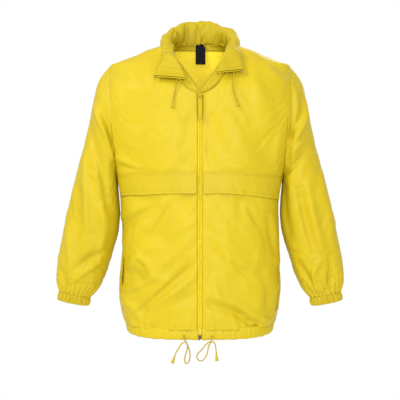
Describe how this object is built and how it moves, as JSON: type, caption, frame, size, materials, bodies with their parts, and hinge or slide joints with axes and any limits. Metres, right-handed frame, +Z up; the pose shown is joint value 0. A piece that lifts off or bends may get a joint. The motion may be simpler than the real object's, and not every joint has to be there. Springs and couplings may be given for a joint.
{
  "type": "foul weather jacket",
  "caption": "Light hooded windcheater in thin yellow nylon: full front zip, hood rolled into the collar, chest flaps, elasticated cuffs and a drawcord hem.",
  "frame": {"origin": "the hanger loop inside the back of the neck, where the jacket hangs on a hook", "axes": "+Z up, the front of the jacket faces -Y, +X is the wearer's left"},
  "size_m": [0.718, 0.2259, 0.851],
  "materials": {
    "shell_fabric": "thin plain-weave nylon with a slight sheen",
    "trim_fabric": "folded nylon tape",
    "cord_yarn": "braided polyester cord",
    "elastic_web": "knitted elastic",
    "label_fabric": "woven satin label",
    "zip_nylon": "nylon coil",
    "dark_plastic": "moulded end of the zip",
    "lacquered_metal": "colour-matched lacquer",
    "moulded_plastic": "moulded",
    "bare_metal": "pressed"
  },
  "bodies": {
    "torso": {"back_panel": "shell_fabric", "front_panel_left": "shell_fabric", "front_panel_right": "shell_fabric", "upper_sleeve_left": "shell_fabric", "upper_sleeve_right": "shell_fabric", "hem_casing": "shell_fabric", "collar_casing": "shell_fabric", "hood_roll": "shell_fabric", "collar_stand_left": "shell_fabric", "collar_stand_right": "shell_fabric", "pocket_welt_left": "trim_fabric", "pocket_welt_right": "trim_fabric", "pocket_bag_left": "trim_fabric", "pocket_bag_right": "trim_fabric", "zip_tape_left": "trim_fabric", "zip_tape_right": "trim_fabric", "neck_tape": "trim_fabric", "hanger_loop": "trim_fabric", "hem_drawcord": "cord_yarn", "hood_cord_left": "cord_yarn", "hood_cord_right": "cord_yarn", "hem_cord_left": "cord_yarn", "hem_cord_right": "cord_yarn", "size_label": "label_fabric", "zip_coil_left": "zip_nylon", "zip_coil_right": "zip_nylon", "zip_pin": "dark_plastic", "zip_retainer": "dark_plastic", "hood_eyelet_left": "lacquered_metal", "hood_eyelet_right": "lacquered_metal", "hem_eyelet_left": "lacquered_metal", "hem_eyelet_right": "lacquered_metal", "hood_cord_end_left": "moulded_plastic", "hood_cord_end_right": "moulded_plastic", "hem_cord_end_left": "moulded_plastic", "hem_cord_end_right": "moulded_plastic"},
    "lower_sleeve_left": {"lower_sleeve_left": "shell_fabric", "cuff_left": "shell_fabric", "cuff_elastic_left": "elastic_web"},
    "lower_sleeve_right": {"lower_sleeve_right": "shell_fabric", "cuff_right": "shell_fabric", "cuff_elastic_right": "elastic_web"},
    "chest_flap_left": {"chest_flap_left": "shell_fabric"},
    "chest_flap_right": {"chest_flap_right": "shell_fabric"},
    "collar_flap_left": {"collar_flap_left": "shell_fabric", "collar_coil_left": "zip_nylon", "top_stop_left": "bare_metal"},
    "collar_flap_right": {"collar_flap_right": "shell_fabric", "collar_coil_right": "zip_nylon", "top_stop_right": "bare_metal"},
    "zip_slider": {"zip_slider": "lacquered_metal"},
    "zip_pull": {"zip_pull": "lacquered_metal", "zip_puller": "moulded_plastic"}
  },
  "joints": [
    {"name": "sleeve_left_bend", "type": "hinge", "parent": "torso", "child": "lower_sleeve_left", "pos_m": [0.258, -0.086, -0.39], "axis": [-0.9366, 0, -0.3504], "range_deg": [0, 70]},
    {"name": "sleeve_right_bend", "type": "hinge", "parent": "torso", "child": "lower_sleeve_right", "pos_m": [-0.258, -0.086, -0.39], "axis": [-0.9366, 0, 0.3504], "range_deg": [0, 70]},
    {"name": "chest_flap_left_lift", "type": "hinge", "parent": "torso", "child": "chest_flap_left", "pos_m": [0.139, -0.1682, -0.337], "axis": [-0.9345, -0.356, 0], "range_deg": [0, 60]},
    {"name": "chest_flap_right_lift", "type": "hinge", "parent": "torso", "child": "chest_flap_right", "pos_m": [-0.139, -0.1682, -0.337], "axis": [-0.9345, 0.356, 0], "range_deg": [0, 60]},
    {"name": "collar_flap_left_turn", "type": "hinge", "parent": "torso", "child": "collar_flap_left", "pos_m": [0.062, -0.152, -0.04], "axis": [-0.3024, -0.5224, -0.7973], "range_deg": [0, 70]},
    {"name": "collar_flap_right_turn", "type": "hinge", "parent": "torso", "child": "collar_flap_right", "pos_m": [-0.064, -0.153, -0.042], "axis": [-0.346, 0.5023, 0.7925], "range_deg": [0, 70]},
    {"name": "zip_slide", "type": "slide", "parent": "torso", "child": "zip_slider", "axis": [0, 0, 1], "range_m": [-0.566, 0]},
    {"name": "zip_pull_swing", "type": "hinge", "parent": "zip_slider", "child": "zip_pull", "pos_m": [0, -0.1897, -0.153], "axis": [-1, 0, 0], "range_deg": [0, 150]}
  ]
}
